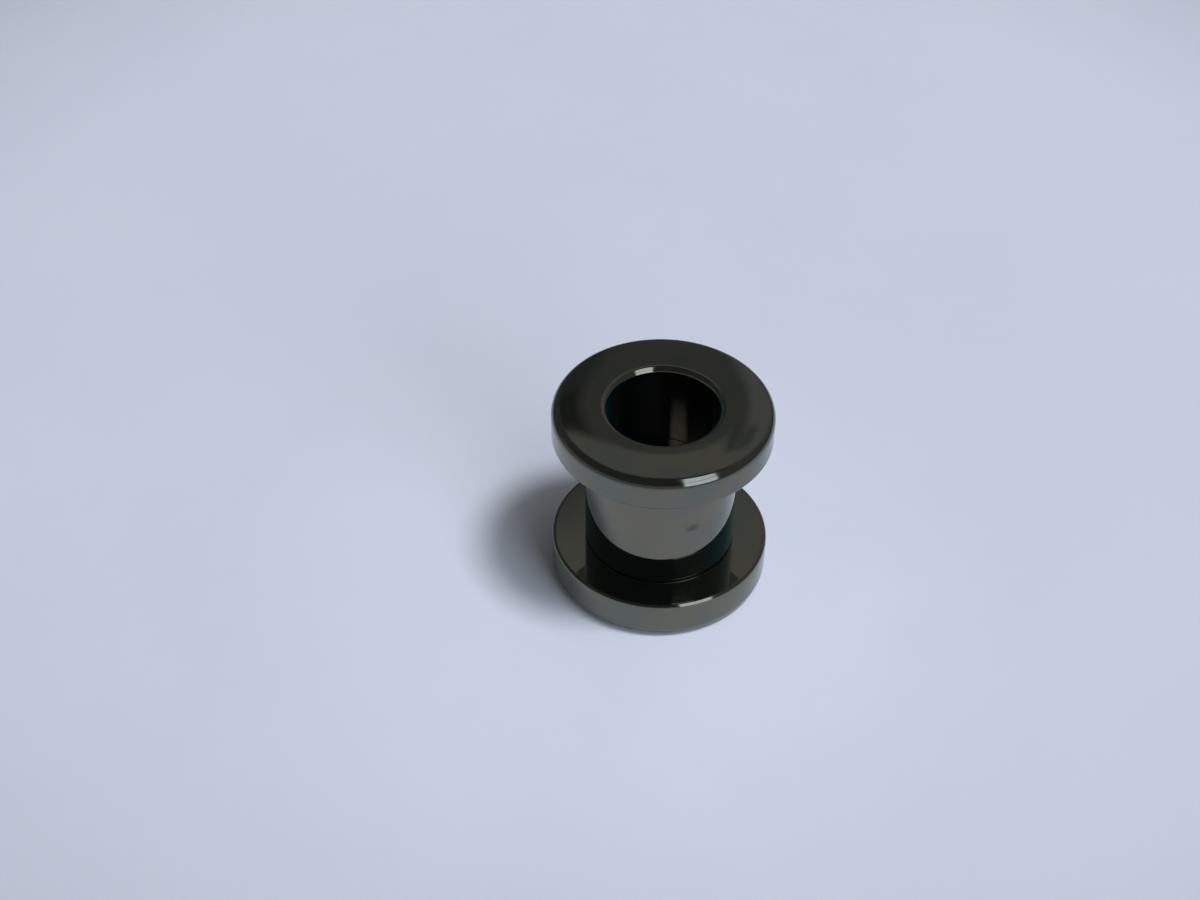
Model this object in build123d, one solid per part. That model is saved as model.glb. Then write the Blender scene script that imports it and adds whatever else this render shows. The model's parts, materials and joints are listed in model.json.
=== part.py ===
from build123d import *
import math
import os

# A screw-fit flesh tunnel: a short polished tube with a round flange at each end.
# It stands on its back flange, with Z = 0 at that flange's face and the bore along Z.
# The front piece is one flange and the barrel. The back piece is the other flange and
# a hollow screw that goes up inside the barrel. All sizes are in millimetres.

# Driving sizes
BARREL_DIA = 8.0          # outside of the tube, the size that a tunnel is sold by
LOBE_GAP = 7.0            # clear length between the two flanges
FLANGE_OVERHANG = 1.8     # how far each flange stands out from the barrel
FRONT_THICKNESS = 1.9     # front flange, from its inner side to its face
BACK_THICKNESS = 2.3      # back flange, likewise

# Walls round the bore, and the screw in its socket
SLEEVE_WALL = 0.45        # barrel wall outside the socket
SCREW_WALL = 0.60         # wall of the hollow screw
SCREW_CLEARANCE = 0.05    # radial gap between the screw and its socket
SCREW_LENGTH = 4.0        # screw, above the back flange's inner side
SOCKET_RELIEF = 0.05      # empty length past the screw's end
SEAM_GAP = 0.03           # hairline between the barrel's end and the back flange

# Edges
RIM_ROUND = 0.5           # flange edge on the side of its face
INNER_ROUND = 0.20        # flange edge on the side of the barrel
ROOT_ROUND = 0.12         # inside corner where the barrel meets the front flange
MOUTH_ROUND = 0.35        # mouth of the bore
FACE_LAND = 0.4           # flat ring of the face, next to the mouth
CROWN_RADIUS = 16.0       # the face falls away from the land on this radius
END_ROUND = 0.1           # outer edge of the barrel's open end
LEAD_CHAMFER = 0.15       # lead-in of the socket and of the screw's tip

# Radii that follow from the sizes, from the outside in
barrel_r = BARREL_DIA / 2
flange_r = barrel_r + FLANGE_OVERHANG
socket_r = barrel_r - SLEEVE_WALL
screw_r = socket_r - SCREW_CLEARANCE
bore_r = screw_r - SCREW_WALL
mouth_r = bore_r + MOUTH_ROUND
land_r = mouth_r + FACE_LAND

# Heights that follow from the sizes, from the bottom up
barrel_end_z = BACK_THICKNESS + SEAM_GAP
screw_end_z = BACK_THICKNESS + SCREW_LENGTH
socket_end_z = screw_end_z + SOCKET_RELIEF
front_inner_z = BACK_THICKNESS + LOBE_GAP
front_face_z = front_inner_z + FRONT_THICKNESS


def crowned_face(face_z, side):
    """Edges of a flange's outer side in the half section, from its rim to the bore.

    side is +1 for a face that looks up and -1 for one that looks down. The rim's wall
    turns through the rim's round into the crown. The crown ends level with the land, and
    the land turns through the mouth's round into the bore. Also returns the height where
    the rim's wall ends and the height where the bore's wall starts.
    """
    rim_x = flange_r - RIM_ROUND
    reach = CROWN_RADIUS - RIM_ROUND
    fall = math.asin((rim_x - land_r) / reach)
    crown_z = face_z - side * CROWN_RADIUS
    rim_z = crown_z + side * reach * math.cos(fall)
    mouth_z = face_z - side * MOUTH_ROUND
    fall_deg = math.degrees(fall)
    steep_deg = side * (90 - fall_deg)
    edges = [
        CenterArc((rim_x, rim_z), RIM_ROUND, 0, steep_deg),
        CenterArc((land_r, crown_z), CROWN_RADIUS, steep_deg, side * fall_deg),
        Line((land_r, face_z), (mouth_r, face_z)),
        CenterArc((mouth_r, mouth_z), MOUTH_ROUND, side * 90, side * 90),
    ]
    return edges, rim_z, mouth_z


def path(*points):
    """Straight edges through the points, one after another."""
    return [Line(start, end) for start, end in zip(points, points[1:])]


def turned(edges):
    """The solid that a closed half section makes when it is turned round Z."""
    return revolve(Plane.XZ * Face(Wire(edges)), Axis.Z)


def make_barrel_flange():
    """Front piece: the flange that shows and the barrel, with the socket for the screw."""
    face, rim_z, mouth_z = crowned_face(front_face_z, +1)
    bore_and_socket = path(
        (bore_r, mouth_z),
        (bore_r, socket_end_z),
        (socket_r, socket_end_z),
        (socket_r, barrel_end_z + LEAD_CHAMFER),
        (socket_r + LEAD_CHAMFER, barrel_end_z),
        (barrel_r - END_ROUND, barrel_end_z),
    )
    end_edge = CenterArc((barrel_r - END_ROUND, barrel_end_z + END_ROUND), END_ROUND, -90, 90)
    barrel = path((barrel_r, barrel_end_z + END_ROUND), (barrel_r, front_inner_z - ROOT_ROUND))
    root = CenterArc((barrel_r + ROOT_ROUND, front_inner_z - ROOT_ROUND), ROOT_ROUND, 180, -90)
    inner_side = path((barrel_r + ROOT_ROUND, front_inner_z), (flange_r - INNER_ROUND, front_inner_z))
    inner_edge = CenterArc((flange_r - INNER_ROUND, front_inner_z + INNER_ROUND), INNER_ROUND, -90, 90)
    rim = path((flange_r, front_inner_z + INNER_ROUND), (flange_r, rim_z))
    return turned([*face, *bore_and_socket, end_edge, *barrel, root, *inner_side, inner_edge, *rim])


def make_screw_flange():
    """Back piece: the flange that screws on, with the hollow screw above it."""
    face, rim_z, mouth_z = crowned_face(0, -1)
    bore_and_screw = path(
        (bore_r, mouth_z),
        (bore_r, screw_end_z),
        (screw_r - LEAD_CHAMFER, screw_end_z),
        (screw_r, screw_end_z - LEAD_CHAMFER),
        (screw_r, BACK_THICKNESS),
        (flange_r - INNER_ROUND, BACK_THICKNESS),
    )
    inner_edge = CenterArc((flange_r - INNER_ROUND, BACK_THICKNESS - INNER_ROUND), INNER_ROUND, 90, -90)
    rim = path((flange_r, BACK_THICKNESS - INNER_ROUND), (flange_r, rim_z))
    return turned([*face, *bore_and_screw, inner_edge, *rim])


def main():
    """Make each piece and write it to its own file."""
    pieces = {
        "barrel_flange": make_barrel_flange(),
        "screw_flange": make_screw_flange(),
    }
    os.makedirs("parts", exist_ok=True)
    for name, piece in pieces.items():
        export_step(piece, f"parts/{name}.step")
        box = piece.bounding_box()
        print(f"{name}: {piece.volume:.1f} mm3, Z {box.min.Z:.2f} to {box.max.Z:.2f}")
    print(f"flange {2 * flange_r:.2f}, bore {2 * bore_r:.2f}, overall {front_face_z:.2f}")


main()
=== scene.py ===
"""Looks of a screw-fit flesh tunnel in mirror-polished black steel, on a pale paper floor.

The tunnel is two turned pieces. The front piece is a flange with the barrel below it, and
the back piece is a flange with a hollow threaded screw that goes up inside the barrel.
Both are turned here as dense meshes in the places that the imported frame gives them.
"""

import json
import logging
import math
from abc import ABC, abstractmethod
from dataclasses import dataclass, field
from enum import Enum

import bpy
from mathutils import Matrix, Vector


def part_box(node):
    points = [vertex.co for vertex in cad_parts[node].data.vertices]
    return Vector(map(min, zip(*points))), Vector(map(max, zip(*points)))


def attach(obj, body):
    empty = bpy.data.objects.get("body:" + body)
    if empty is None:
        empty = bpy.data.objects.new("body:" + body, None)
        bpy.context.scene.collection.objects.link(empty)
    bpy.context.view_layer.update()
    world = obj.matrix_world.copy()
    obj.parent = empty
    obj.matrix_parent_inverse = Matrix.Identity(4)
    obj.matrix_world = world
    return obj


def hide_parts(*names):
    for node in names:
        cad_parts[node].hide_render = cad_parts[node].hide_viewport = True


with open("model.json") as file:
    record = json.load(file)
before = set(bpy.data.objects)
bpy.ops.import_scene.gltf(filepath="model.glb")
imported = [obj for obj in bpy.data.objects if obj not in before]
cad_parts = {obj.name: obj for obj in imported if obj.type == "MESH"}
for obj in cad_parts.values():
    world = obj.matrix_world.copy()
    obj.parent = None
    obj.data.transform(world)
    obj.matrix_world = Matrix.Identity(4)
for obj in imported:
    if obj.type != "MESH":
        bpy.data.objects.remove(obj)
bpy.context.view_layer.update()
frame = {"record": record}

log = logging.getLogger("flesh_tunnel")

Rgb = tuple[float, float, float]
Xyz = tuple[float, float, float]
Span = tuple[float, float]
Band = tuple[float, float, float, float]
Socket = bpy.types.NodeSocket
Feed = Socket | float | Xyz

MM = 0.001                  # the sections below are drawn in millimetres
WEAR_NAME = "edge_wear"     # the point attribute that says where an edge is rubbed
PAINTED_SHEEN_ROUGHNESS = 0.5       # of the painted sea-green sheen that tints the steel's dark places
PAINTED_SHEEN_TINT = (0.02, 0.85, 0.9)


class FaceSide(Enum):
    """Which way the outer face of a flange looks."""

    UP = 1
    DOWN = -1


class Zone(Enum):
    """The finish of a stretch of a turned piece, as an index into its material slots."""

    POLISHED = 0
    MACHINED = 1
    BORED = 2


class ThreadCut(Enum):
    """A thread is cut into a screw, towards the axis, or into a socket, away from it."""

    SCREW = -1
    SOCKET = 1


def smooth_step(share: float) -> float:
    """Eases a share of the way, from 0 to 1, with a level start and end."""
    held = min(max(share, 0.0), 1.0)
    return held * held * (3 - 2 * held)


@dataclass(frozen=True)
class TunnelSizes:
    """Radii and heights of the tunnel in millimetres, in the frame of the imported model."""

    flange_r: float
    barrel_r: float
    bore_r: float
    face_z: float
    barrel_end_z: float
    screw_end_z: float
    seam_gap: float = 0.03
    lobe_gap: float = 7.0
    sleeve_wall: float = 0.45
    screw_clearance: float = 0.05
    socket_relief: float = 0.05
    rim_round: float = 0.5
    inner_round: float = 0.2
    root_round: float = 0.12
    mouth_round: float = 0.35
    face_land: float = 0.4
    crown_radius: float = 16.0
    end_round: float = 0.1
    lead_chamfer: float = 0.15

    @classmethod
    def from_frame(cls) -> "TunnelSizes":
        """Reads the sizes that the frame gives.

        Returns:
            The sizes, from the boxes of the two nodes and from the record's mounts.
        """
        front_low, front_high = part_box("barrel_flange")
        _, back_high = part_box("screw_flange")
        radius = {m["name"]: m["dims"].get("r_mm") for m in frame["record"]["mounts"]}
        return cls(
            flange_r=front_high.x / MM,
            barrel_r=radius["lobe_barrel"],
            bore_r=radius["bore"],
            face_z=front_high.z / MM,
            barrel_end_z=front_low.z / MM,
            screw_end_z=back_high.z / MM,
        )

    @property
    def back_top_z(self) -> float:
        """Height of the back flange's inner side."""
        return self.barrel_end_z - self.seam_gap

    @property
    def front_inner_z(self) -> float:
        """Height of the front flange's inner side."""
        return self.back_top_z + self.lobe_gap

    @property
    def socket_r(self) -> float:
        """Radius of the socket inside the barrel."""
        return self.barrel_r - self.sleeve_wall

    @property
    def screw_r(self) -> float:
        """Radius of the screw over its thread."""
        return self.socket_r - self.screw_clearance

    @property
    def mouth_r(self) -> float:
        """Radius where the mouth's round meets the face."""
        return self.bore_r + self.mouth_round

    @property
    def land_r(self) -> float:
        """Radius where the level land ends and the crown begins."""
        return self.mouth_r + self.face_land


@dataclass(frozen=True)
class Thread:
    """A V thread with flattened crests and roots, in millimetres.

    The crest keeps the plain radius that the solid has, so that nothing touches. The two
    flats are shares of the pitch.
    """

    cut: ThreadCut
    crest_r: float
    low_z: float
    high_z: float
    pitch: float = 0.4
    depth: float = 0.2
    crest_flat: float = 0.16
    root_flat: float = 0.2
    run_out: float = 0.25
    rows_per_turn: int = 12

    def radius_at(self, turn: float, z: float) -> float:
        """Gives the radius of the threaded wall.

        Args:
            turn: how far round the axis, from 0 to 1.
            z: the height in millimetres.

        Returns:
            The radius in millimetres.
        """
        phase = ((z - self.low_z) / self.pitch - turn) % 1.0
        from_root = abs(2 * phase - 1)
        flank = (from_root - self.root_flat) / (1 - self.root_flat - self.crest_flat)
        ends = min(z - self.low_z, self.high_z - z) / self.run_out
        bite = (1 - smooth_step(flank)) * smooth_step(ends)
        return self.crest_r + self.cut.value * self.depth * bite


@dataclass(frozen=True)
class Station:
    """One ring of a turned piece, and what lies between it and the next ring."""

    r: float
    z: float
    wear: float = 0.0
    zone: Zone = Zone.POLISHED
    thread: Thread | None = None


@dataclass
class Section:
    """The half section of a turned piece: a closed loop of stations.

    It runs up the outside, in over the top, down the bore and out below, so that the
    faces of the turned mesh look outwards.
    """

    stations: list[Station] = field(default_factory=list)
    zone: Zone = Zone.POLISHED
    hold: float = 0.02      # how close to its ends a straight stretch has a ring

    def start(self, r: float, z: float) -> None:
        """Puts down the first station."""
        self.stations.append(Station(r, z, zone=self.zone))

    def line(self, r: float, z: float, steps: int = 1) -> None:
        """Draws a straight stretch, with a ring close to each end that keeps it flat.

        Args:
            r: radius where the stretch ends.
            z: height where the stretch ends.
            steps: the number of equal parts between the two close rings.
        """
        last = self.stations[-1]
        length = math.hypot(r - last.r, z - last.z)
        shares = [(step + 1) / steps for step in range(steps)]
        shortest = 4 * self.hold
        if length > shortest:
            near = self.hold / length
            inner = [near + (1 - 2 * near) * step / steps for step in range(steps + 1)]
            shares = [*inner, 1.0]
        for share in shares:
            r_here = last.r + (r - last.r) * share
            z_here = last.z + (z - last.z) * share
            self.stations.append(Station(r_here, z_here, zone=self.zone))

    def arc(self, r: float, z: float, radius: float, start: float, sweep: float,
            steps: int, wear: float = 0.0) -> None:
        """Draws an arc from where the section stands.

        Args:
            r: radius of the arc's centre.
            z: height of the arc's centre.
            radius: the arc's own radius.
            start: the angle in degrees that the arc starts at.
            sweep: the angle in degrees that it turns through.
            steps: the number of parts.
            wear: how rubbed the middle of the arc is, from 0 to 1.
        """
        for step in range(1, steps + 1):
            share = step / steps
            angle = math.radians(start + sweep * share)
            rubbed = wear * math.sin(math.pi * share)
            r_here = r + radius * math.cos(angle)
            z_here = z + radius * math.sin(angle)
            self.stations.append(Station(r_here, z_here, rubbed, self.zone))

    def threaded(self, r: float, z: float, thread: Thread) -> None:
        """Draws an upright stretch that carries a thread all the way.

        Args:
            r: radius where the stretch ends.
            z: height where the stretch ends.
            thread: the thread that is cut into it.
        """
        last = self.stations.pop()
        self.stations.append(Station(last.r, last.z, last.wear, self.zone, thread))
        self.stations.append(Station(r, z, zone=self.zone))

    def face(self, sizes: TunnelSizes, side: FaceSide) -> None:
        """Draws the outer side of a flange, between the rim's wall and the bore's wall.

        Args:
            sizes: the tunnel's sizes.
            side: a face that looks up is drawn inwards, and one that looks down outwards.
        """
        up = side.value
        face_z = sizes.face_z if side is FaceSide.UP else 0.0
        rim_x = sizes.flange_r - sizes.rim_round
        reach = sizes.crown_radius - sizes.rim_round
        fall = math.asin((rim_x - sizes.land_r) / reach)
        crown_z = face_z - up * sizes.crown_radius
        rim_z = crown_z + up * reach * math.cos(fall)
        mouth_z = face_z - up * sizes.mouth_round
        fall_deg = math.degrees(fall)
        steep = 90 - fall_deg
        rim_steps, crown_steps, mouth_steps = 20, 24, 12
        if side is FaceSide.UP:
            self.line(sizes.flange_r, rim_z)
            self.arc(rim_x, rim_z, sizes.rim_round, 0, steep, rim_steps, wear=1.0)
            self.arc(sizes.land_r, crown_z, sizes.crown_radius, steep, fall_deg, crown_steps)
            self.line(sizes.mouth_r, face_z, steps=2)
            self.arc(sizes.mouth_r, mouth_z, sizes.mouth_round, 90, 90, mouth_steps, wear=0.7)
        else:
            self.line(sizes.bore_r, mouth_z, steps=4)
            self.zone = Zone.POLISHED
            self.arc(sizes.mouth_r, mouth_z, sizes.mouth_round, 180, 90, mouth_steps, wear=0.7)
            self.line(sizes.land_r, face_z, steps=2)
            self.arc(sizes.land_r, crown_z, sizes.crown_radius, -90, fall_deg, crown_steps)
            self.arc(rim_x, rim_z, sizes.rim_round, -steep, steep, rim_steps, wear=1.0)


@dataclass
class Lathe:
    """Turns a section into a closed mesh."""

    columns: int = 240
    sharp_from: float = 28.0    # a corner that turns further, in degrees, stays sharp
    touching: float = 1e-6      # heights in millimetres that are closer are one
    points: list[Xyz] = field(default_factory=list)
    wear: list[float] = field(default_factory=list)
    faces: list[list[int]] = field(default_factory=list)
    zones: list[int] = field(default_factory=list)

    def add_point(self, column: int, r: float, z: float, wear: float = 0.0) -> int:
        """Puts a point on the mesh.

        Args:
            column: which column of the mesh it stands in.
            r: its radius in millimetres.
            z: its height in millimetres.
            wear: how rubbed the steel is there.

        Returns:
            The point's number.
        """
        angle = 2 * math.pi * column / self.columns
        self.points.append((r * math.cos(angle) * MM, r * math.sin(angle) * MM, z * MM))
        self.wear.append(wear)
        return len(self.points) - 1

    def add_face(self, corners: list[int], zone: Zone) -> None:
        """Adds a face, without corners that fall together.

        Args:
            corners: numbers of the points, in order.
            zone: the finish of the face.
        """
        apart = [c for n, c in enumerate(corners) if c != corners[n - 1]]
        if len(set(apart)) > 2:
            self.faces.append(apart)
            self.zones.append(zone.value)

    def add_band(self, first: list[int], second: list[int], zone: Zone) -> None:
        """Joins two rings with a band of faces.

        Args:
            first: the points of one ring.
            second: the points of the next ring along the section.
            zone: the finish of the band.
        """
        for column in range(self.columns):
            after = (column + 1) % self.columns
            corners = [first[column], first[after], second[after], second[column]]
            self.add_face(corners, zone)

    def add_thread(self, low: list[int], high: list[int], thread: Thread, zone: Zone) -> None:
        """Joins two rings with a threaded wall whose rows climb with the thread.

        Args:
            low: the points of the lower ring.
            high: the points of the upper ring.
            thread: the thread between the rings.
            zone: the finish of the wall.
        """
        per_turn = thread.rows_per_turn
        turns = (thread.high_z - thread.low_z) / thread.pitch
        rows = math.ceil(per_turn * (turns + 1))
        made: dict[tuple[int, int], int] = {}

        def point(column: int, row: int) -> int:
            """Finds a point of a row, which climbs one pitch a turn, or puts it there.

            Args:
                column: which column of the mesh it stands in.
                row: which row of the thread it stands in.

            Returns:
                The point's number.
            """
            if column == self.columns:
                return point(0, row + per_turn)
            turn = column / self.columns
            z = thread.low_z + thread.pitch * ((row - per_turn) / per_turn + turn)
            if z <= thread.low_z + self.touching:
                return low[column]
            if z >= thread.high_z - self.touching:
                return high[column]
            if (column, row) not in made:
                made[column, row] = self.add_point(column, thread.radius_at(turn, z), z)
            return made[column, row]

        for column in range(self.columns):
            for row in range(rows):
                corners = [
                    point(column, row),
                    point(column + 1, row),
                    point(column + 1, row + 1),
                    point(column, row + 1),
                ]
                if thread.cut is ThreadCut.SOCKET:
                    corners.reverse()
                self.add_face(corners, zone)

    def turn(self, name: str, section: Section,
             finishes: list[bpy.types.Material]) -> bpy.types.Object:
        """Makes the mesh and its object.

        Args:
            name: the piece's name.
            section: the closed half section.
            finishes: its materials, in the order of the zones.

        Returns:
            The new object, linked to the scene, smooth but for its sharp corners.
        """
        rings = [
            [self.add_point(column, s.r, s.z, s.wear) for column in range(self.columns)]
            for s in section.stations
        ]
        for number, station in enumerate(section.stations):
            first = rings[number]
            second = rings[(number + 1) % len(rings)]
            if station.thread is None:
                self.add_band(first, second, station.zone)
            elif station.thread.cut is ThreadCut.SCREW:
                self.add_thread(first, second, station.thread, station.zone)
            else:
                self.add_thread(second, first, station.thread, station.zone)
        mesh = bpy.data.meshes.new(name)
        mesh.from_pydata(self.points, [], self.faces)
        mesh.polygons.foreach_set("material_index", self.zones)
        rubbed = mesh.attributes.new(WEAR_NAME, "FLOAT", "POINT")
        rubbed.data.foreach_set("value", self.wear)
        mesh.shade_smooth()
        mesh.set_sharp_from_angle(angle=math.radians(self.sharp_from))
        mesh.validate()
        mesh.update()
        piece = bpy.data.objects.new(name, mesh)
        bpy.context.scene.collection.objects.link(piece)
        for finish in finishes:
            mesh.materials.append(finish)
        return piece


@dataclass(frozen=True)
class Clouds:
    """Cloudy noise, in clouds to a millimetre, and the span over which a cloud fades in."""

    scale: float
    detail: float = 3.0
    roughness: float = 0.5
    fade: Span = (0.0, 1.0)


class NodeSheet:
    """A node tree that is being drawn, with short ways to add nodes and join them."""

    def __init__(self, tree: bpy.types.NodeTree) -> None:
        """Starts with an empty tree."""
        self.tree = tree
        tree.nodes.clear()

    def add(self, kind: str, **settings: object) -> bpy.types.Node:
        """Adds a node.

        Args:
            kind: the node's type name in Blender.
            settings: properties to set on it.

        Returns:
            The node.
        """
        node = self.tree.nodes.new(kind)
        for key, value in settings.items():
            setattr(node, key, value)
        return node

    def feed(self, socket: Socket, source: Feed) -> None:
        """Joins a socket to a source, or sets its value.

        Args:
            socket: the input to fill.
            source: an output, a number or a colour.
        """
        if isinstance(source, bpy.types.NodeSocket):
            self.tree.links.new(source, socket)
        elif isinstance(source, tuple) and socket.type == "RGBA":
            socket.default_value = (*source, 1.0)
        else:
            socket.default_value = source

    def fill(self, node: bpy.types.Node, values: dict[str, Feed]) -> None:
        """Fills inputs of a node.

        Args:
            node: the node.
            values: what each input gets, by the input's name.
        """
        for name, value in values.items():
            self.feed(node.inputs[name], value)

    def math(self, operation: str, *sources: Feed) -> Socket:
        """Adds a Math node.

        Args:
            operation: what it does.
            sources: what it does it to.

        Returns:
            The result.
        """
        node = self.add("ShaderNodeMath", operation=operation)
        for socket, source in zip(node.inputs, sources):
            self.feed(socket, source)
        return node.outputs[0]

    def product(self, first: Feed, *others: Feed) -> Feed:
        """Multiplies numbers.

        Args:
            first: the first number.
            others: the numbers that it is multiplied by, one after another.

        Returns:
            The product.
        """
        result = first
        for other in others:
            result = self.math("MULTIPLY", result, other)
        return result

    def vector(self, operation: str, *sources: Feed, scale: Feed = 1.0) -> bpy.types.Node:
        """Adds a Vector Math node.

        Args:
            operation: what it does.
            sources: what it does it to.
            scale: the factor, if it scales.

        Returns:
            The node, whose result is a vector or a value.
        """
        node = self.add("ShaderNodeVectorMath", operation=operation)
        for socket, source in zip(node.inputs, sources):
            self.feed(socket, source)
        if operation == "SCALE":
            self.feed(node.inputs["Scale"], scale)
        return node

    def split(self, vector: Socket) -> list[Socket]:
        """Splits a vector.

        Args:
            vector: the vector.

        Returns:
            Its three parts.
        """
        node = self.add("ShaderNodeSeparateXYZ")
        self.feed(node.inputs[0], vector)
        return list(node.outputs)

    def ramp(self, source: Feed, span: Span, to: tuple[Feed, Feed] = (0.0, 1.0)) -> Socket:
        """Eases a value from one span to another.

        Args:
            source: the value.
            span: where the change starts and ends.
            to: what the start and the end become.

        Returns:
            The eased value, held between the two ends.
        """
        node = self.add("ShaderNodeMapRange", interpolation_type="SMOOTHSTEP")
        for socket, value in zip(node.inputs, (source, *span, *to)):
            self.feed(socket, value)
        return node.outputs[0]

    def band(self, source: Feed, edges: Band) -> Feed:
        """Marks a band of a value, with soft ends.

        Args:
            source: the value.
            edges: where the band starts to show, is full, starts to fade and is gone.

        Returns:
            1 in the band and 0 outside it.
        """
        start, full, fade, end = edges
        return self.product(self.ramp(source, (start, full)), self.ramp(source, (end, fade)))

    def noise(self, vector: Socket, clouds: Clouds) -> Socket:
        """Adds cloudy noise.

        Args:
            vector: where it is read, in millimetres.
            clouds: how fine it is.

        Returns:
            The noise, about 0.5 on average.
        """
        node = self.add("ShaderNodeTexNoise")
        self.fill(node, {
            "Vector": vector,
            "Scale": clouds.scale,
            "Detail": clouds.detail,
            "Roughness": clouds.roughness,
        })
        return node.outputs[0]

    def clouds(self, vector: Socket, clouds: Clouds) -> Socket:
        """Adds cloudy noise that fades in over its span, from 0 to 1."""
        return self.ramp(self.noise(vector, clouds), clouds.fade)

    def mix(self, share: Feed, first: Feed, second: Feed) -> Socket:
        """Mixes two colours.

        Args:
            share: how much of the second there is.
            first: the first colour.
            second: the second colour.

        Returns:
            The mixed colour.
        """
        node = self.add("ShaderNodeMix", data_type="RGBA")
        self.feed(node.inputs[0], share)
        self.feed(node.inputs[6], first)
        self.feed(node.inputs[7], second)
        return node.outputs[2]

    def blend(self, share: Feed, first: Feed, second: Feed) -> Socket:
        """Goes from one number to another.

        Args:
            share: how far it goes.
            first: the number at 0.
            second: the number at 1.

        Returns:
            The number on the way.
        """
        node = self.add("ShaderNodeMix", data_type="FLOAT")
        self.feed(node.inputs[0], share)
        self.feed(node.inputs[2], first)
        self.feed(node.inputs[3], second)
        return node.outputs[0]

    def bump(self, height: Socket, depth: float, below: Socket | None = None) -> Socket:
        """Adds fine relief.

        Args:
            height: the relief, from 0 to 1.
            depth: its real height in metres.
            below: the normal of coarser relief to lay it on.

        Returns:
            The new normal.
        """
        node = self.add("ShaderNodeBump")
        self.fill(node, {"Distance": depth, "Height": height})
        if below is not None:
            self.feed(node.inputs["Normal"], below)
        return node.outputs[0]

    def round_the_axis(self, place: Socket) -> Socket:
        """Turns a place into radius and height, so that noise on it makes turned rings.

        Args:
            place: the place on the piece, in millimetres.

        Returns:
            The radius and the height as a vector, with nothing between them.
        """
        x, y, z = self.split(place)
        squares = self.math("ADD", self.product(x, x), self.product(y, y))
        joined = self.add("ShaderNodeCombineXYZ")
        self.fill(joined, {"X": self.math("SQRT", squares), "Z": z})
        return joined.outputs[0]


class FinishSheet(NodeSheet):
    """The node tree of a new material, with its shader and the place on the piece.

    The place is in millimetres, and it moves with the piece.
    """

    def __init__(self, name: str) -> None:
        """Starts the material.

        Args:
            name: the material's name.
        """
        self.material = bpy.data.materials.new(name)
        self.material.use_nodes = True
        super().__init__(self.material.node_tree)
        place = self.add("ShaderNodeTexCoord").outputs["Object"]
        self.place = self.vector("SCALE", place, scale=1 / MM).outputs[0]
        self.shader = self.add("ShaderNodeBsdfPrincipled")
        out = self.add("ShaderNodeOutputMaterial")
        self.feed(out.inputs["Surface"], self.shader.outputs[0])

    def metal(self, colour: Socket, rough: Socket, normal: Socket) -> None:
        """Makes the shader a metal.

        Args:
            colour: its colour.
            rough: its roughness.
            normal: its fine relief.
        """
        self.fill(self.shader, {
            "Metallic": 1.0,
            "Base Color": colour,
            "Roughness": rough,
            "Normal": normal,
        })

    def painted_sheen(self, weight: float) -> None:
        """Gives the shader a faint painted sea-green sheen that tints the dark places of the
        steel.

        Args:
            weight: how much of it shows.
        """
        self.fill(self.shader, {
            "Sheen Weight": weight,
            "Sheen Roughness": PAINTED_SHEEN_ROUGHNESS,
            "Sheen Tint": PAINTED_SHEEN_TINT,
        })


class Finish(ABC):
    """A finish that new materials are given."""

    @abstractmethod
    def draw(self, sheet: FinishSheet) -> None:
        """Draws the finish on the node tree of a new material."""

    def make(self, name: str) -> bpy.types.Material:
        """Makes a material.

        Args:
            name: the material's name.

        Returns:
            The material.
        """
        sheet = FinishSheet(name)
        self.draw(sheet)
        return sheet.material


@dataclass(frozen=True)
class Hairlines:
    """Faint straight hairlines in two directions, drawn with noise that is pulled out."""

    turns: Span = (0.5, 2.1)
    axis: Xyz = (0.3, 0.2, 0.93)
    pull: Xyz = (0.5, 34.0, 34.0)
    clouds: Clouds = Clouds(1.0, 1.0, fade=(0.70, 0.74))
    rough: float = 0.05

    def draw(self, sheet: FinishSheet) -> Socket:
        """Scatters the hairlines.

        Args:
            sheet: the material's node tree.

        Returns:
            1 on a hairline and 0 beside it.
        """
        found: list[Socket] = []
        for turn in self.turns:
            node = sheet.add("ShaderNodeVectorRotate", rotation_type="AXIS_ANGLE")
            sheet.fill(node, {"Axis": self.axis, "Angle": turn, "Vector": sheet.place})
            pulled = sheet.vector("MULTIPLY", node.outputs[0], self.pull).outputs[0]
            found.append(sheet.clouds(pulled, self.clouds))
        return sheet.math("MAXIMUM", *found)


@dataclass(frozen=True)
class DarkDullSpot:
    """One small ragged spot on the steel, darker and duller than round it. Its centre and reach
    are in millimetres.
    """

    centre: Xyz
    reach: Xyz = (0.6, 0.6, 0.42)
    clouds: Clouds = Clouds(9.0)
    ragged: float = 0.9
    fade: Span = (1.3, 0.7)
    colour: Rgb = (0.05, 0.047, 0.04)
    strength: float = 0.45
    rough: float = 0.25

    def draw(self, sheet: FinishSheet) -> Socket:
        """Marks the spot.

        Args:
            sheet: the material's node tree.

        Returns:
            1 in the middle of the spot and 0 outside it.
        """
        away = sheet.vector("SUBTRACT", sheet.place, self.centre).outputs[0]
        away = sheet.vector("DIVIDE", away, self.reach).outputs[0]
        far = sheet.vector("LENGTH", away).outputs["Value"]
        ragged = sheet.product(sheet.noise(sheet.place, self.clouds), self.ragged)
        return sheet.ramp(sheet.math("ADD", far, ragged), self.fade)


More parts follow.
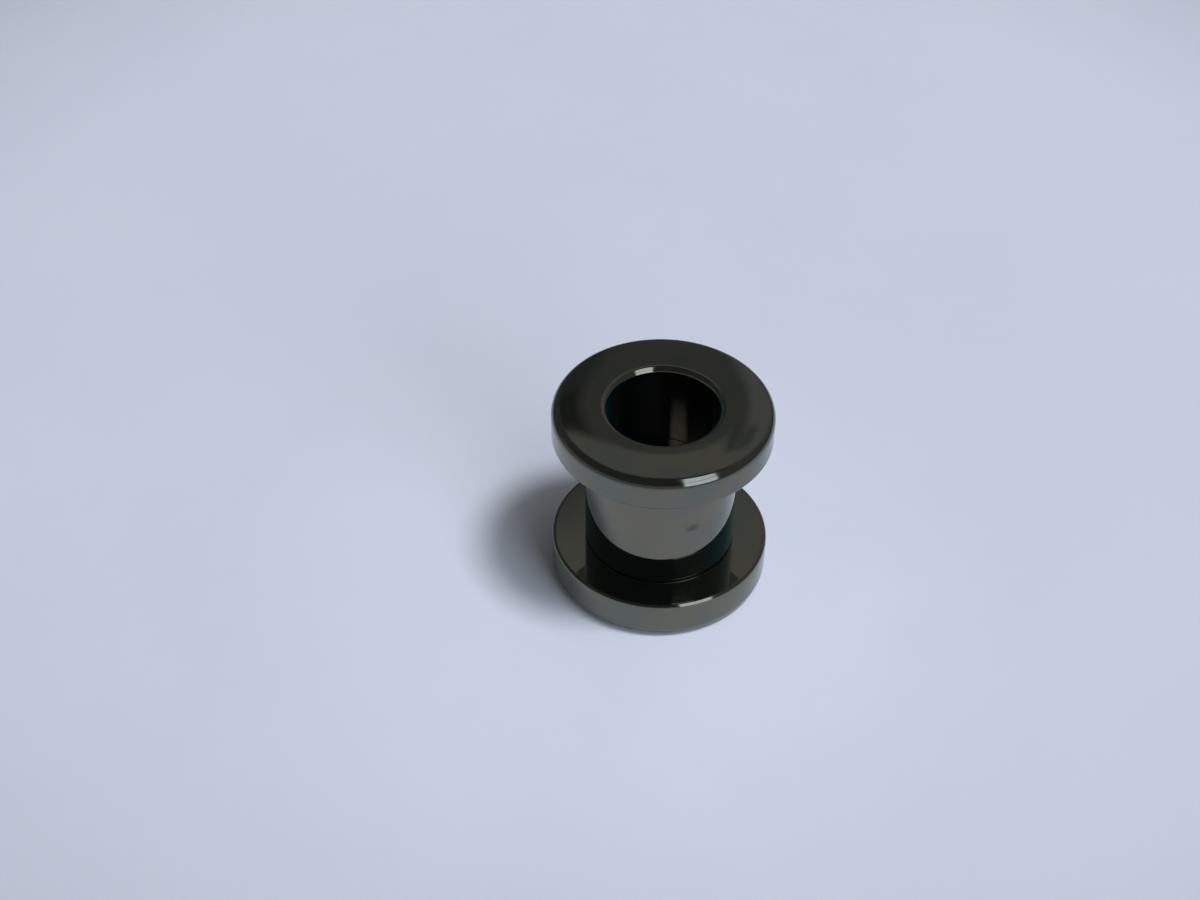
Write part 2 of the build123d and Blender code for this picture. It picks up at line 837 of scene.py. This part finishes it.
@dataclass(frozen=True)
class MirrorBlackSteel(Finish):
    """Steel polished like a mirror under a thin black coating."""

    cool_black: Rgb = (0.160, 0.163, 0.136)
    warm_black: Rgb = (0.182, 0.170, 0.130)
    tints: Clouds = Clouds(0.32, 2.0, fade=(0.35, 0.65))
    bare_steel: Rgb = (0.40, 0.38, 0.345)
    nicks: Clouds = Clouds(5.5, 4.0, 0.62, (0.60, 0.72))
    wear: float = 0.35
    wear_and_painted_streak_rough: float = 0.15
    gloss: float = 0.03
    hazy: float = 0.06
    smears: Clouds = Clouds(0.9, 4.0, 0.6, (0.45, 0.75))
    hairlines: Hairlines = Hairlines()
    dark_spot: DarkDullSpot | None = None
    rings: Clouds = Clouds(16.0, 2.0)
    ring_depth: float = 2.0e-8
    waves: Clouds = Clouds(0.8, 1.0)
    wave_depth: float = 4.0e-7
    # painted sheen: how much sea-green sheen tints the dark places
    painted_sheen: float = 0.045

    def draw(self, sheet: FinishSheet) -> None:
        """Draws the finish.

        Args:
            sheet: the material's node tree.
        """
        place = sheet.place
        tint = sheet.mix(sheet.clouds(place, self.tints), self.cool_black, self.warm_black)
        rubbed = sheet.add("ShaderNodeAttribute", attribute_name=WEAR_NAME).outputs["Fac"]
        worn = sheet.product(sheet.clouds(place, self.nicks), rubbed, self.wear)
        colour = sheet.mix(worn, tint, self.bare_steel)
        rough = sheet.blend(sheet.clouds(place, self.smears), self.gloss, self.hazy)
        hairs = sheet.product(self.hairlines.draw(sheet), self.hairlines.rough)
        rough = sheet.math("ADD", rough, hairs)
        rough = sheet.math("ADD", rough, sheet.product(worn, self.wear_and_painted_streak_rough))
        # a small spot that is darker and rougher than the steel round it
        if self.dark_spot is not None:
            spot = self.dark_spot.draw(sheet)
            share = sheet.product(spot, self.dark_spot.strength)
            colour = sheet.mix(share, colour, self.dark_spot.colour)
            rough = sheet.math("ADD", rough, sheet.product(spot, self.dark_spot.rough))
        rings = sheet.noise(sheet.round_the_axis(place), self.rings)
        normal = sheet.bump(rings, self.ring_depth)
        normal = sheet.bump(sheet.noise(place, self.waves), self.wave_depth, normal)
        sheet.painted_sheen(self.painted_sheen)
        sheet.metal(colour, rough, normal)


@dataclass(frozen=True)
class MachinedBlackSteel(Finish):
    """The same steel where it is left as turned, on the thread and inside the barrel."""

    black: Rgb = (0.125, 0.122, 0.104)
    lit_black: Rgb = (0.175, 0.168, 0.138)
    tints: Clouds = Clouds(1.4, fade=(0.35, 0.68))
    smooth: float = 0.20
    rough: float = 0.34
    rings: Clouds = Clouds(26.0, roughness=0.6)
    ring_depth: float = 1.2e-6

    def draw(self, sheet: FinishSheet) -> None:
        """Draws the finish.

        Args:
            sheet: the material's node tree.
        """
        rings = sheet.noise(sheet.round_the_axis(sheet.place), self.rings)
        colour = sheet.mix(sheet.clouds(sheet.place, self.tints), self.black, self.lit_black)
        rough = sheet.blend(rings, self.smooth, self.rough)
        sheet.metal(colour, rough, sheet.bump(rings, self.ring_depth))


@dataclass(frozen=True)
class BoredBlackSteel(Finish):
    """The same steel inside the bore, duller, with one painted streak of light reflected down the
    wall, lighter, rougher and bronze in colour.

    The streak runs down the side that streak_towards points at. streak_sides says where its
    edges lie along that direction, and streak_ends where it fades from top to bottom.
    """

    black: Rgb = (0.135, 0.135, 0.112)
    warm_black: Rgb = (0.165, 0.152, 0.115)
    tints: Clouds = Clouds(0.6, 2.0, fade=(0.35, 0.65))
    smooth: float = 0.20
    rough: float = 0.30
    rings: Clouds = Clouds(20.0, 2.0)
    ring_depth: float = 1.0e-7
    # painted light: the streak's lighter bronze colour stands in for light reflected down the
    # bore
    bronze: Rgb = (1.0, 0.87, 0.58)
    wear_and_painted_streak_rough: float = 0.85
    streak_towards: Xyz = (0.292, 0.956, 0.0)
    streak_sides: Span = (2.842, 2.897)
    streak_ends: Span = (10.2, 6.4)
    patches: Clouds = Clouds(2.4, fade=(0.25, 0.6))
    thinnest: float = 0.8
    # painted sheen: how much sea-green sheen tints the dark places of the bore
    painted_sheen: float = 0.010

    def draw(self, sheet: FinishSheet) -> None:
        """Draws the finish.

        Args:
            sheet: the material's node tree.
        """
        rings = sheet.noise(sheet.round_the_axis(sheet.place), self.rings)
        streak = self.streak(sheet)
        tint = sheet.mix(sheet.clouds(sheet.place, self.tints), self.black, self.warm_black)
        # painted light: the wall is painted bronze and rough where light is reflected down it
        colour = sheet.mix(streak, tint, self.bronze)
        rough = sheet.blend(rings, self.smooth, self.rough)
        rough = sheet.blend(streak, rough, self.wear_and_painted_streak_rough)
        sheet.painted_sheen(self.painted_sheen)
        sheet.metal(colour, rough, sheet.bump(rings, self.ring_depth))

    def streak(self, sheet: FinishSheet) -> Feed:
        """Marks the painted streak of reflected light.

        Args:
            sheet: the material's node tree.

        Returns:
            1 in the streak and 0 beside it, a little less where it is patchy.
        """
        place = sheet.place
        leaning = sheet.vector("DOT_PRODUCT", place, self.streak_towards).outputs["Value"]
        across = sheet.ramp(leaning, self.streak_sides)
        down = sheet.ramp(sheet.split(place)[2], self.streak_ends)
        patches = sheet.noise(place, self.patches)
        patchy = sheet.ramp(patches, self.patches.fade, (self.thinnest, 1.0))
        return sheet.product(across, down, patchy)


@dataclass(frozen=True)
class PaleCard(Finish):
    """Smooth pale card with a faint grain, with a painted pool of light round the tunnel and
    painted shade that darkens it far away.

    Distances are in millimetres.
    """

    light: Rgb = (0.80, 0.82, 0.86)
    shade: Rgb = (0.775, 0.80, 0.845)
    tints: Clouds = Clouds(0.06, 4.0, 0.6, (0.3, 0.7))
    grain: Clouds = Clouds(3.0, 4.0, 0.65)
    grain_depth: float = 8.0e-6
    rough: float = 0.62
    shine: float = 0.25
    # painted shade: the card's colour darkens with distance from this middle
    painted_shade_middle: Xyz = (0.0, 22.0, 0.0)
    painted_shade_reach: Span = (38.0, 105.0)
    # painted shade: how dark the card is painted far away
    dim: float = 0.4
    # painted light: a pool of painted light round the tunnel's foot
    painted_pool_middle: Xyz = (-1.5, -2.0, 0.0)
    painted_pool_reach: Span = (8.0, 24.0)
    painted_light_pool: float = 1.08

    def draw(self, sheet: FinishSheet) -> None:
        """Draws the finish.

        Args:
            sheet: the material's node tree.
        """
        place = sheet.place
        paper = sheet.mix(sheet.clouds(place, self.tints), self.shade, self.light)
        far = sheet.vector("DISTANCE", place, self.painted_shade_middle).outputs["Value"]
        near = sheet.vector("DISTANCE", place, self.painted_pool_middle).outputs["Value"]
        # painted light and shade: the colour is scaled up round the tunnel and down far away
        lit = sheet.ramp(far, self.painted_shade_reach, (1.0, self.dim))
        painted_light_pool = sheet.ramp(near, self.painted_pool_reach, (self.painted_light_pool, 1.0))
        colour = sheet.vector("SCALE", paper, scale=sheet.product(lit, painted_light_pool)).outputs[0]
        normal = sheet.bump(sheet.noise(place, self.grain), self.grain_depth)
        sheet.fill(sheet.shader, {
            "Base Color": colour,
            "Roughness": self.rough,
            "Specular IOR Level": self.shine,
            "Normal": normal,
        })


@dataclass
class FrontPiece:
    """The flange that shows, and the barrel below it with the threaded socket inside."""

    sizes: TunnelSizes
    finishes: list[bpy.types.Material]
    name: str = "barrel_flange_turned"
    thread_stop: float = 0.1    # how far below the screw's end the socket's thread stops

    def section(self) -> Section:
        """Draws the half section.

        Returns:
            The closed half section, from the barrel's open end round to it again.
        """
        s = self.sizes
        drawn = Section()
        end_r = s.barrel_r - s.end_round
        drawn.start(end_r, s.barrel_end_z)
        drawn.zone = Zone.MACHINED
        drawn.arc(end_r, s.barrel_end_z + s.end_round, s.end_round, -90, 90, steps=10, wear=0.5)
        drawn.zone = Zone.POLISHED
        drawn.line(s.barrel_r, s.front_inner_z - s.root_round, steps=12)
        root_r = s.barrel_r + s.root_round
        drawn.arc(root_r, s.front_inner_z - s.root_round, s.root_round, 180, -90, steps=8)
        inner_r = s.flange_r - s.inner_round
        drawn.line(inner_r, s.front_inner_z, steps=6)
        edge_z = s.front_inner_z + s.inner_round
        drawn.arc(inner_r, edge_z, s.inner_round, -90, 90, steps=10, wear=0.8)
        drawn.face(s, FaceSide.UP)
        socket_end_z = s.screw_end_z + s.socket_relief
        drawn.zone = Zone.BORED
        drawn.line(s.bore_r, socket_end_z, steps=4)
        drawn.zone = Zone.MACHINED
        drawn.line(s.socket_r, socket_end_z, steps=2)
        lead_z = s.barrel_end_z + s.lead_chamfer
        thread_end_z = s.screw_end_z - self.thread_stop
        thread = Thread(ThreadCut.SOCKET, s.socket_r, lead_z, thread_end_z)
        drawn.line(s.socket_r, thread.high_z)
        drawn.threaded(s.socket_r, thread.low_z, thread)
        drawn.line(s.socket_r + s.lead_chamfer, s.barrel_end_z)
        return drawn

    def build(self) -> bpy.types.Object:
        """Makes the piece and puts it in the place of its solid.

        Returns:
            The piece.
        """
        piece = Lathe().turn(self.name, self.section(), self.finishes)
        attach(piece, "front")
        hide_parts("barrel_flange")
        return piece


@dataclass
class BackPiece:
    """The flange at the back, with the hollow threaded screw that holds the front piece."""

    sizes: TunnelSizes
    finishes: list[bpy.types.Material]
    name: str = "screw_flange_turned"
    neck: float = 0.3           # plain length of the screw below its thread

    def section(self) -> Section:
        """Draws the half section.

        Returns:
            The closed half section, from the rim's wall round to it again.
        """
        s = self.sizes
        drawn = Section()
        inner_r = s.flange_r - s.inner_round
        edge_z = s.back_top_z - s.inner_round
        drawn.start(s.flange_r, edge_z)
        drawn.arc(inner_r, edge_z, s.inner_round, 0, 90, steps=10, wear=0.8)
        drawn.line(s.screw_r, s.back_top_z, steps=6)
        drawn.zone = Zone.MACHINED
        lead = s.lead_chamfer
        neck_end_z = s.back_top_z + self.neck
        thread = Thread(ThreadCut.SCREW, s.screw_r, neck_end_z, s.screw_end_z - lead)
        drawn.line(s.screw_r, thread.low_z)
        drawn.threaded(s.screw_r, thread.high_z, thread)
        drawn.line(s.screw_r - lead, s.screw_end_z)
        drawn.line(s.bore_r, s.screw_end_z)
        drawn.zone = Zone.BORED
        drawn.face(s, FaceSide.DOWN)
        return drawn

    def build(self) -> bpy.types.Object:
        """Makes the piece and puts it in the place of its solid.

        Returns:
            The piece.
        """
        piece = Lathe().turn(self.name, self.section(), self.finishes)
        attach(piece, "back")
        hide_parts("screw_flange")
        return piece


@dataclass(frozen=True)
class Outlook:
    """Where a ray goes that leaves the table, as a direction and in degrees.

    Bearing 0 is straight behind the tunnel, and it grows to the right.
    """

    sheet: NodeSheet
    towards: Socket
    right: Socket
    away: Socket
    climb: Feed
    bearing: Feed

    @classmethod
    def on(cls, sheet: NodeSheet) -> "Outlook":
        """Draws the nodes that find the direction.

        Args:
            sheet: the world's node tree.

        Returns:
            The direction, its parts and its two angles.
        """
        towards = sheet.add("ShaderNodeTexCoord").outputs["Generated"]
        right, away, up = sheet.split(towards)
        degrees = math.degrees(1)
        climb = sheet.product(sheet.math("ARCSINE", up), degrees)
        bearing = sheet.product(sheet.math("ARCTAN2", right, away), degrees)
        return cls(sheet, towards, right, away, climb, bearing)


@dataclass(frozen=True)
class Side:
    """A side of the window: the light ends where a ray leans too little this way."""

    lean: Xyz
    least: float

    def inside(self, look: Outlook, outer: float, inner: float) -> Socket:
        """Finds the rays on the window's side.

        Args:
            look: where the ray goes.
            outer: how far outside the side the light starts.
            inner: how far inside it the light is full.

        Returns:
            1 on the window's side and 0 past it.
        """
        leaning = look.sheet.vector("DOT_PRODUCT", look.towards, self.lean).outputs["Value"]
        return look.sheet.ramp(leaning, (self.least - outer, self.least + inner))


@dataclass(frozen=True)
class Window:
    """A tall window on the right of the camera that reaches up over the table.

    A dark bar crosses it, and its light spills a little way past its sides. The bar is
    measured in degrees, and the sides by how far a ray leans their way.
    """

    light: Rgb = (2.0, 2.22, 2.62)
    near_side: Side = Side((0.98, 0.199, 0.024), 0.179)
    far_side: Side = Side((-0.858, -0.514, 0.002), -0.365)
    top: Side = Side((0.285, -0.874, 0.393), 0.31)
    sill: Side = Side((0.0, 0.0, 1.0), 0.10)
    blur: float = 0.028
    top_blur: float = 0.09
    spill: float = 0.10
    spill_reach: float = 0.06
    bar_climb: float = 45.3
    bar_reach: float = 1.7
    bar_blur: float = 0.4

    def beside_bar(self, look: Outlook) -> Socket:
        """Finds the rays that pass above or below the bar.

        Args:
            look: where the ray goes.

        Returns:
            1 beside the bar and 0 on it.
        """
        from_middle = look.sheet.math("SUBTRACT", look.climb, self.bar_climb)
        from_bar = look.sheet.math("ABSOLUTE", from_middle)
        edge = (self.bar_reach - self.bar_blur, self.bar_reach + self.bar_blur)
        return look.sheet.ramp(from_bar, edge)

    def seen(self, look: Outlook) -> Feed:
        """Finds the panes and the light that spills past their sides.

        Args:
            look: where the ray goes.

        Returns:
            1 in the panes, a little beside them and 0 elsewhere.
        """
        panes: Feed = self.top.inside(look, self.top_blur, self.top_blur)
        for side in (self.near_side, self.far_side, self.sill):
            panes = look.sheet.product(panes, side.inside(look, self.blur, self.blur))
        spilled: Feed = self.spill
        for side in (self.near_side, self.far_side, self.top, self.sill):
            spilled = look.sheet.product(spilled, side.inside(look, self.spill_reach, 0.0))
        lit = look.sheet.math("MAXIMUM", panes, spilled)
        return look.sheet.product(lit, self.beside_bar(look))


@dataclass(frozen=True)
class RoomGlow:
    """The dim room round the table, which the steel mirrors and the card is lit by.

    Behind the tunnel stands a wall whose lit part begins at its foot and comes nearer on
    the right. Behind the camera the room is dim and a little lighter low down. Spans,
    bands, wall_foot, lower_top and the two lifts are in degrees, apart from ahead and
    end_from, which are parts of the direction. The rest is how bright a part is.
    """

    window: Window = Window()
    dim: Rgb = (0.98, 1.0, 1.04)
    backdrop: Rgb = (0.50, 0.545, 0.665)

    # Lit wall, and the foot that it rises from
    wall: float = 0.27
    wall_left: Span = (-28.0, -12.0)
    wall_right: Span = (80.0, 22.0)
    wall_top: Span = (70.0, 54.0)
    wall_foot: float = 42.6
    foot_fade: Span = (-1.0, 1.5)
    left_rise: Span = (1.5, -8.0)
    left_lift: float = 2.4
    right_rise: Span = (3.0, 8.5)
    right_lift: float = 4.2
    near_left: Span = (5.8, 10.2)
    near_foot: Span = (8.0, 26.0)

    # Dark line below both ends of the foot
    foot_shade: float = 0.42
    left_line: Band = (-8.0, -5.5, -2.0, -0.5)
    left_line_across: Band = (-17.0, -13.5, -10.0, -7.0)
    right_line: Band = (-5.0, -3.0, -0.6, 1.2)
    right_line_across: Band = (6.0, 10.5, 11.5, 13.5)

    # Dim things below the wall, from left to right
    far_left: float = 0.09
    left_from: Span = (-19.0, -14.0)
    left: float = 0.072
    middle_from: Span = (-9.0, -3.5)
    middle: float = 0.130
    ahead: Span = (0.1, 0.5)
    lower_top: float = 62.0

    # Room behind the camera and past the right end of the table
    above: float = 0.068
    low_behind: float = 0.30
    behind_climbs: Span = (-2.0, 32.0)
    end: float = 0.135
    end_from: Span = (0.3, 0.6)
    end_top: Span = (80.0, 66.0)

    def above_foot(self, look: Outlook) -> Socket:
        """Finds how far above the foot of the lit wall a ray goes.

        Args:
            look: where the ray goes.

        Returns:
            The angle above the foot, which climbs to both sides.
        """
        sheet = look.sheet
        highest = self.wall_foot + self.right_lift
        right = sheet.ramp(look.bearing, self.right_rise, (self.wall_foot, highest))
        left = sheet.ramp(look.bearing, self.left_rise, (0.0, self.left_lift))
        return sheet.math("SUBTRACT", look.climb, sheet.math("ADD", left, right))

    def behind(self, look: Outlook) -> Socket:
        """Draws the room behind the camera and past the right end of the table.

        Args:
            look: where the ray goes.

        Returns:
            How bright it is.
        """
        sheet = look.sheet
        glow = sheet.ramp(look.climb, self.behind_climbs, (self.low_behind, self.above))
        past_end = sheet.ramp(look.right, self.end_from)
        past_end = sheet.product(past_end, sheet.ramp(look.climb, self.end_top))
        return sheet.blend(past_end, glow, self.end)

    def lower_room(self, look: Outlook) -> Socket:
        """Draws the dim things below the lit wall.

        Args:
            look: where the ray goes.

        Returns:
            How bright they are, and the room behind elsewhere.
        """
        sheet = look.sheet
        glow = sheet.ramp(look.bearing, self.left_from, (self.far_left, self.left))
        glow = sheet.blend(sheet.ramp(look.bearing, self.middle_from), glow, self.middle)
        below = sheet.ramp(look.climb, (self.lower_top, self.wall_foot))
        share = sheet.product(sheet.ramp(look.away, self.ahead), below)
        return sheet.blend(share, self.behind(look), glow)

    def lit_wall(self, look: Outlook) -> Feed:
        """Finds the lit wall.

        Args:
            look: where the ray goes.

        Returns:
            1 on the wall and 0 beside it.
        """
        sheet = look.sheet
        upper = sheet.ramp(self.above_foot(look), self.foot_fade)
        upper = sheet.product(upper, sheet.ramp(look.bearing, self.wall_left))
        near = sheet.ramp(look.bearing, self.near_left)
        near = sheet.product(near, sheet.ramp(look.climb, self.near_foot))
        wall = sheet.math("MAXIMUM", upper, near)
        top = sheet.ramp(look.climb, self.wall_top)
        return sheet.product(wall, top, sheet.ramp(look.bearing, self.wall_right))

    def dark_line(self, look: Outlook) -> Socket:
        """Darkens a line below both ends of the wall's foot.

        Args:
            look: where the ray goes.

        Returns:
            The share of the light that is left.
        """
        sheet = look.sheet
        above = self.above_foot(look)
        right = sheet.band(look.bearing, self.right_line_across)
        right = sheet.product(sheet.band(above, self.right_line), right)
        left = sheet.band(look.bearing, self.left_line_across)
        left = sheet.product(sheet.band(above, self.left_line), left)
        return sheet.blend(sheet.math("MAXIMUM", right, left), 1.0, 1.0 - self.foot_shade)

    def light(self) -> None:
        """Draws the world: the room for light and mirroring, a plain pale one to look at."""
        world = bpy.data.worlds.new("room")
        world.use_nodes = True
        bpy.context.scene.world = world
        sheet = NodeSheet(world.node_tree)
        look = Outlook.on(sheet)
        room = sheet.blend(self.lit_wall(look), self.lower_room(look), self.wall)
        room = sheet.product(room, self.dark_line(look))
        dim = sheet.vector("SCALE", self.dim, scale=room).outputs[0]
        glow = sheet.add("ShaderNodeBackground")
        colour = sheet.mix(self.window.seen(look), dim, self.window.light)
        sheet.feed(glow.inputs["Color"], colour)
        plain = sheet.add("ShaderNodeBackground")
        sheet.feed(plain.inputs["Color"], self.backdrop)
        path = sheet.add("ShaderNodeLightPath")
        shown = sheet.add("ShaderNodeMixShader")
        sources = (path.outputs["Is Camera Ray"], glow.outputs[0], plain.outputs[0])
        for socket, source in zip(shown.inputs, sources):
            sheet.feed(socket, source)
        out = sheet.add("ShaderNodeOutputWorld")
        sheet.feed(out.inputs["Surface"], shown.outputs[0])


@dataclass(frozen=True)
class SoftLamp:
    """A round lamp with a soft edge to its shadow, aimed at the tunnel.

    It lights the card and stays out of the steel, where the window is mirrored instead.
    Its distance and width are in metres, and its power is in watts.
    """

    name: str
    towards: Xyz
    distance: float
    width: float
    power: float
    colour: Rgb

    def hang(self) -> None:
        """Makes the lamp."""
        lamp = bpy.data.lights.new(self.name, "AREA")
        lamp.shape = "DISK"
        lamp.size = self.width
        lamp.energy = self.power
        lamp.color = self.colour
        made = bpy.data.objects.new(self.name, lamp)
        way = Vector(self.towards).normalized()
        made.location = way * self.distance
        made.rotation_mode = "QUATERNION"
        made.rotation_quaternion = way.to_track_quat("Z", "Y")
        made.visible_glossy = False
        bpy.context.scene.collection.objects.link(made)


@dataclass(frozen=True)
class PhotoCamera:
    """The camera where the photograph was taken from.

    Its place, lens and sensor are in millimetres, its angles in degrees and clip in metres.
    """

    place: Xyz = (0.0, -81.694, 82.746)
    pitch: float = 42.457
    yaw: float = -2.276
    roll: float = -0.514
    lens: float = 63.35
    sensor: float = 36.0
    clip: Span = (0.005, 10.0)

    def stand(self) -> None:
        """Makes the camera and gives it to the scene."""
        pitch, yaw, roll = map(math.radians, (self.pitch, self.yaw, self.roll))
        level = math.cos(pitch)
        ahead = Vector((math.sin(yaw) * level, math.cos(yaw) * level, -math.sin(pitch)))
        right = ahead.cross(Vector((0, 0, 1))).normalized()
        down = ahead.cross(right)
        turned_right = right * math.cos(roll) + down * math.sin(roll)
        turned_down = down * math.cos(roll) - right * math.sin(roll)
        turn = Matrix((turned_right, -turned_down, -ahead)).transposed()
        data = bpy.data.cameras.new("photo_camera")
        data.lens = self.lens
        data.sensor_width = self.sensor
        data.clip_start, data.clip_end = self.clip
        camera = bpy.data.objects.new("photo_camera", data)
        camera.matrix_world = Matrix.Translation(Vector(self.place) * MM) @ turn.to_4x4()
        bpy.context.scene.collection.objects.link(camera)
        bpy.context.scene.camera = camera


@dataclass
class Studio:
    """The card that the tunnel stands on, the room, the lamp and the camera."""

    card_reach: float = 1.6     # half the card's side, in metres
    key_lamp: SoftLamp = SoftLamp(
        name="key_lamp",
        towards=(0.36, -0.10, 0.93),
        distance=1.3,
        width=0.30,
        power=8.4,
        colour=(0.84, 0.875, 1.0),
    )

    def lay_card(self) -> None:
        """Makes the card, level with the tunnel's lowest point."""
        reach = self.card_reach
        corners = [(-reach, -reach, 0), (reach, -reach, 0), (reach, reach, 0), (-reach, reach, 0)]
        mesh = bpy.data.meshes.new("pale_card")
        mesh.from_pydata(corners, [], [(0, 1, 2, 3)])
        mesh.materials.append(PaleCard().make("pale_card"))
        card = bpy.data.objects.new("pale_card", mesh)
        bpy.context.scene.collection.objects.link(card)

    def build(self) -> None:
        """Makes everything round the tunnel."""
        PhotoCamera().stand()
        self.lay_card()
        RoomGlow().light()
        self.key_lamp.hang()
        bpy.context.scene.view_settings.view_transform = "Standard"


def main() -> None:
    """Builds the studio and the two pieces, and reports each one."""
    logging.basicConfig(level=logging.INFO, format="%(name)s: %(message)s")
    Studio().build()
    sizes = TunnelSizes.from_frame()
    machined = MachinedBlackSteel().make("machined_black_steel")
    bored = BoredBlackSteel().make("bored_black_steel")
    # a small darker, duller spot on the barrel
    spotted_steel = MirrorBlackSteel(dark_spot=DarkDullSpot((1.75, -3.6, 6.0)))
    barrel_steel = spotted_steel.make("mirror_black_steel_front")
    flange_steel = MirrorBlackSteel().make("mirror_black_steel_back")
    for part in (
        FrontPiece(sizes, [barrel_steel, machined, bored]),
        BackPiece(sizes, [flange_steel, machined, bored]),
    ):
        piece = part.build()
        log.info("%s: %d faces", piece.name, len(piece.data.polygons))


if __name__ == "__main__":
    main()
